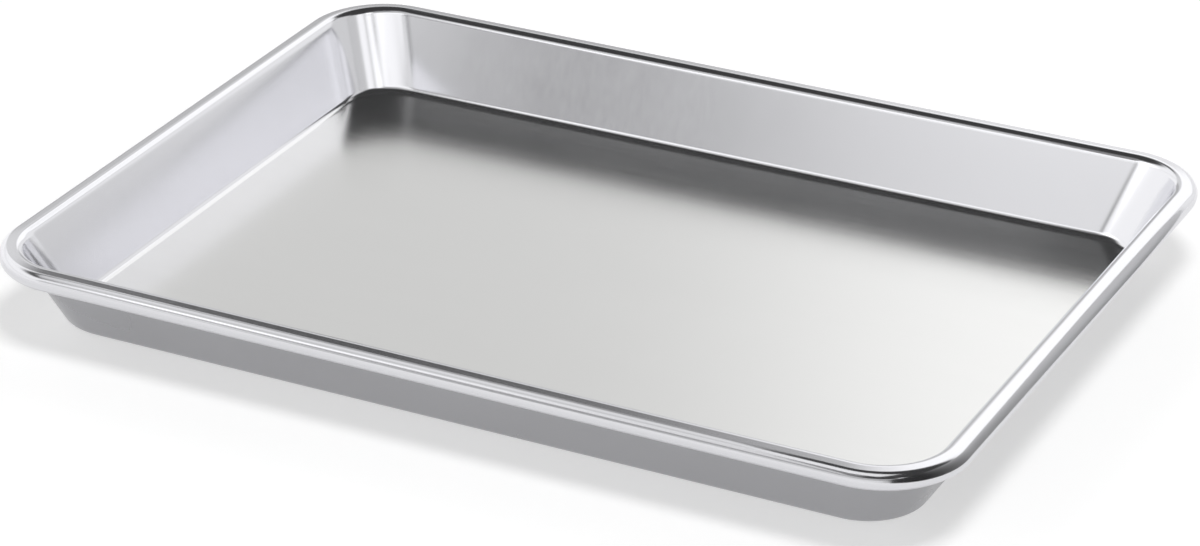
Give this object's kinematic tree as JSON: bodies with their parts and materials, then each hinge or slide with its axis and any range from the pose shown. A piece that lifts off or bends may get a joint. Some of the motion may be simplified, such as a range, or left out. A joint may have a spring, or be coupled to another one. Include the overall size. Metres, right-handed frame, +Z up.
{
  "type": "sheet pan",
  "caption": "Shallow rectangular baking pan drawn from one aluminium sheet, with leaning walls, rounded corners and a rim curled round a steel stiffening wire.",
  "frame": {"origin": "middle of the underside of the floor, where the pan rests", "axes": "+X along the pan's length, +Y across its width, +Z up out of the pan's mouth"},
  "size_m": [0.33, 0.242, 0.0275],
  "materials": {
    "aluminium_sheet": "bare satin aluminium, with fine rolling grain on the floor and smoother drawn walls and rim",
    "steel_wire": "zinc-plated drawn steel wire"
  },
  "bodies": {
    "root": {"pan_shell": "aluminium_sheet", "rim_wire": "steel_wire"}
  },
  "joints": []
}
